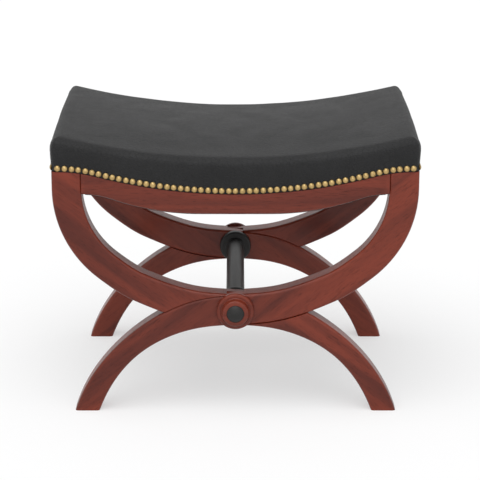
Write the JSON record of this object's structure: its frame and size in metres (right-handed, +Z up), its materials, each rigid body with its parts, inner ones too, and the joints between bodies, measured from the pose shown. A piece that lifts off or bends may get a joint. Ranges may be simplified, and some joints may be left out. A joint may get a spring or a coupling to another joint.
{
  "type": "x frame stool",
  "caption": "Rectangular stool on two crossed S-curved wooden frames joined by a turned stretcher, with a dipped leather seat edged in domed nails.",
  "frame": {"origin": "middle of the footprint, on the floor", "axes": "+X along the width, to the right seen from the front; +Y from front to rear; +Z up"},
  "size_m": [0.6264, 0.484, 0.4915],
  "materials": {
    "show_wood": "polished red-brown hardwood",
    "black_wood": "wood stained black, satin",
    "block_wood": "plain beech, unfinished",
    "leather": "charcoal leather, satin",
    "nail_brass": "antique brass",
    "tack_steel": "blued cut tacks",
    "screw_steel": "zinc-plated",
    "webbing": "jute webbing",
    "hessian": "jute hessian",
    "padding": "foam and wadding",
    "dust_cloth": "black calico"
  },
  "bodies": {
    "root": {"front_nails": "nail_brass", "rear_nails": "nail_brass", "left_nails": "nail_brass", "right_nails": "nail_brass", "webbing_tacks": "tack_steel", "dust_cover_tacks": "tack_steel", "corner_block_screws": "screw_steel", "front_leg_left": "show_wood", "rear_leg_left": "show_wood", "front_leg_right": "show_wood", "rear_leg_right": "show_wood", "front_seat_rail": "show_wood", "rear_seat_rail": "show_wood", "right_seat_rail": "show_wood", "left_seat_rail": "show_wood", "front_boss": "show_wood", "rear_boss": "show_wood", "front_rail_dowels": "block_wood", "side_rail_dowels": "block_wood", "rear_rail_dowels": "block_wood", "corner_block_rear_right": "block_wood", "corner_block_front_right": "block_wood", "corner_block_rear_left": "block_wood", "corner_block_front_left": "block_wood", "stretcher": "black_wood", "front_button": "black_wood", "rear_button": "black_wood", "webbing_straps": "webbing", "hessian": "hessian", "seat_padding": "padding", "leather_cover": "leather", "dust_cover": "dust_cloth"}
  },
  "joints": []
}
